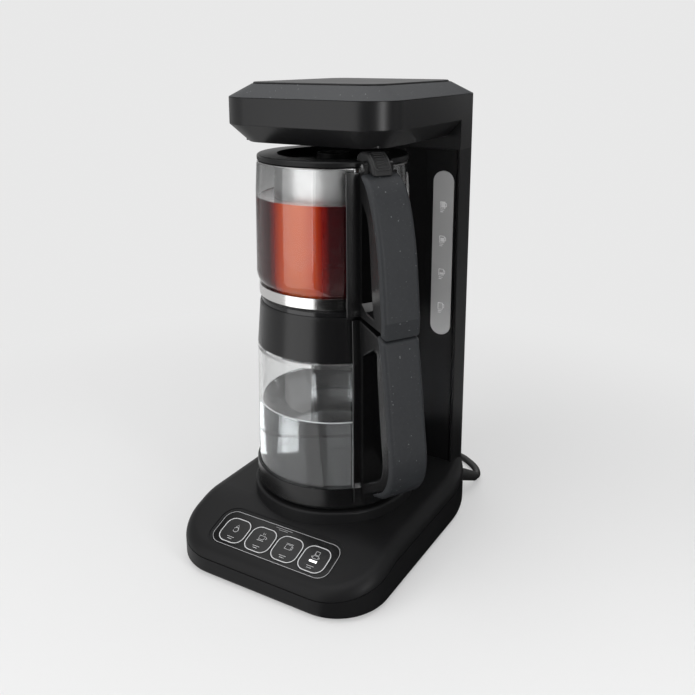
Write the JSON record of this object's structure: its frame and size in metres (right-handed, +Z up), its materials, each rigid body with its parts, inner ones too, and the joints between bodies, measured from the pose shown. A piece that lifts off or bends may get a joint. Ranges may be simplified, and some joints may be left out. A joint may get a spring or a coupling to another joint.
{
  "type": "automatic tea maker",
  "caption": "Upright automatic tea maker: base with push buttons, tower with water tank, overhanging head with filling lid, glass kettle and a glass teapot with infuser standing on it.",
  "frame": {"origin": "middle of the base's width on the table plane, 100 mm behind the base's front edge", "axes": "+Z up, the push buttons face -Y, +X to the right of someone standing in front"},
  "size_m": [0.2136, 0.417, 0.4085],
  "materials": {
    "base_tub": "satin",
    "base_cover": "satin",
    "rubber_feet": "matte",
    "base_screws": "plated",
    "power_socket": "satin",
    "socket_contacts": "polished",
    "control_board": "satin",
    "board_screws": "plated",
    "tact_switches": "matte",
    "panel_plate": "gloss",
    "terminal_block": "matte",
    "strain_relief": "matte",
    "power_cord": "matte",
    "cord_coil": "matte",
    "plug_body": "matte",
    "plug_pins": "polished",
    "tower_shell": "satin",
    "tower_front": "satin",
    "level_window": "frosted",
    "water_tank": "clear",
    "pump": "matte",
    "pump_cradle": "matte",
    "suction_hose": "matte",
    "riser_pipe": "matte",
    "head_shell": "satin",
    "head_band": "speckled",
    "fill_lid_pins": "plain",
    "fill_tray": "matte",
    "tray_screws": "plated",
    "spout_nozzle": "matte",
    "fill_lid": "satin",
    "button_1": "satin",
    "button_2": "satin",
    "button_3": "satin",
    "button_4": "satin",
    "indicator_lens": "translucent",
    "kettle_base": "satin",
    "kettle_socket": "matte",
    "kettle_floor": "brushed",
    "kettle_heater": "cast",
    "kettle_glass": "clear",
    "kettle_collar": "satin",
    "kettle_rim_seal": "gloss",
    "kettle_handle_frame": "satin",
    "kettle_grip": "speckled",
    "kettle_handle_screws": "plated",
    "teapot_ring": "brushed",
    "teapot_glass": "clear",
    "teapot_handle_frame": "satin",
    "teapot_grip": "speckled",
    "teapot_handle_screw": "plated",
    "lid_hinge_pin": "plain",
    "infuser": "perforated",
    "teapot_lid": "satin",
    "thumb_tab": "ribbed",
    "thumb_tab_screws": "plated",
    "lid_seal": "matte"
  },
  "bodies": {
    "base": {"base_tub": "base_tub", "base_cover": "base_cover", "rubber_feet": "rubber_feet", "base_screws": "base_screws", "power_socket": "power_socket", "socket_contacts": "socket_contacts", "control_board": "control_board", "board_screws": "board_screws", "tact_switches": "tact_switches", "panel_plate": "panel_plate", "terminal_block": "terminal_block", "strain_relief": "strain_relief", "power_cord": "power_cord", "cord_coil": "cord_coil", "plug_body": "plug_body", "plug_pins": "plug_pins", "tower_shell": "tower_shell", "tower_front": "tower_front", "level_window": "level_window", "water_tank": "water_tank", "pump": "pump", "pump_cradle": "pump_cradle", "suction_hose": "suction_hose", "riser_pipe": "riser_pipe", "head_shell": "head_shell", "head_band": "head_band", "fill_lid_pins": "fill_lid_pins", "fill_tray": "fill_tray", "tray_screws": "tray_screws", "spout_nozzle": "spout_nozzle"},
    "fill_lid": {"fill_lid": "fill_lid"},
    "button_1": {"button_1": "button_1"},
    "button_2": {"button_2": "button_2"},
    "button_3": {"button_3": "button_3"},
    "button_4": {"button_4": "button_4", "indicator_lens": "indicator_lens"},
    "kettle": {"kettle_base": "kettle_base", "kettle_socket": "kettle_socket", "kettle_floor": "kettle_floor", "kettle_heater": "kettle_heater", "kettle_glass": "kettle_glass", "kettle_collar": "kettle_collar", "kettle_rim_seal": "kettle_rim_seal", "kettle_handle_frame": "kettle_handle_frame", "kettle_grip": "kettle_grip", "kettle_handle_screws": "kettle_handle_screws"},
    "teapot": {"teapot_ring": "teapot_ring", "teapot_glass": "teapot_glass", "teapot_handle_frame": "teapot_handle_frame", "teapot_grip": "teapot_grip", "teapot_handle_screw": "teapot_handle_screw", "lid_hinge_pin": "lid_hinge_pin", "infuser": "infuser"},
    "teapot_lid": {"teapot_lid": "teapot_lid", "thumb_tab": "thumb_tab", "thumb_tab_screws": "thumb_tab_screws", "lid_seal": "lid_seal"}
  },
  "joints": [
    {"name": "kettle_slide", "type": "slide", "parent": "base", "child": "kettle", "axis": [0, -1, 0], "range_m": [0, 0.25]},
    {"name": "teapot_slide", "type": "slide", "parent": "kettle", "child": "teapot", "axis": [0, -1, 0], "range_m": [0, 0.22]},
    {"name": "lid_hinge", "type": "hinge", "parent": "teapot", "child": "teapot_lid", "pos_m": [0.06149, -0.01, 0.347], "axis": [0.5, 0.866, 0], "range_deg": [0, 2.5]},
    {"name": "fill_lid_hinge", "type": "hinge", "parent": "base", "child": "fill_lid", "pos_m": [0, 0.136, 0.4045], "axis": [-1, 0, 0], "range_deg": [0, 75]},
    {"name": "button_1_press", "type": "slide", "parent": "base", "child": "button_1", "axis": [0, 0.309, -0.9511], "range_m": [0, 0.001], "stiffness_N_per_m": 3000},
    {"name": "button_2_press", "type": "slide", "parent": "base", "child": "button_2", "axis": [0, 0.309, -0.9511], "range_m": [0, 0.001], "stiffness_N_per_m": 3000},
    {"name": "button_3_press", "type": "slide", "parent": "base", "child": "button_3", "axis": [0, 0.309, -0.9511], "range_m": [0, 0.001], "stiffness_N_per_m": 3000},
    {"name": "button_4_press", "type": "slide", "parent": "base", "child": "button_4", "axis": [0, 0.309, -0.9511], "range_m": [0, 0.001], "stiffness_N_per_m": 3000}
  ]
}
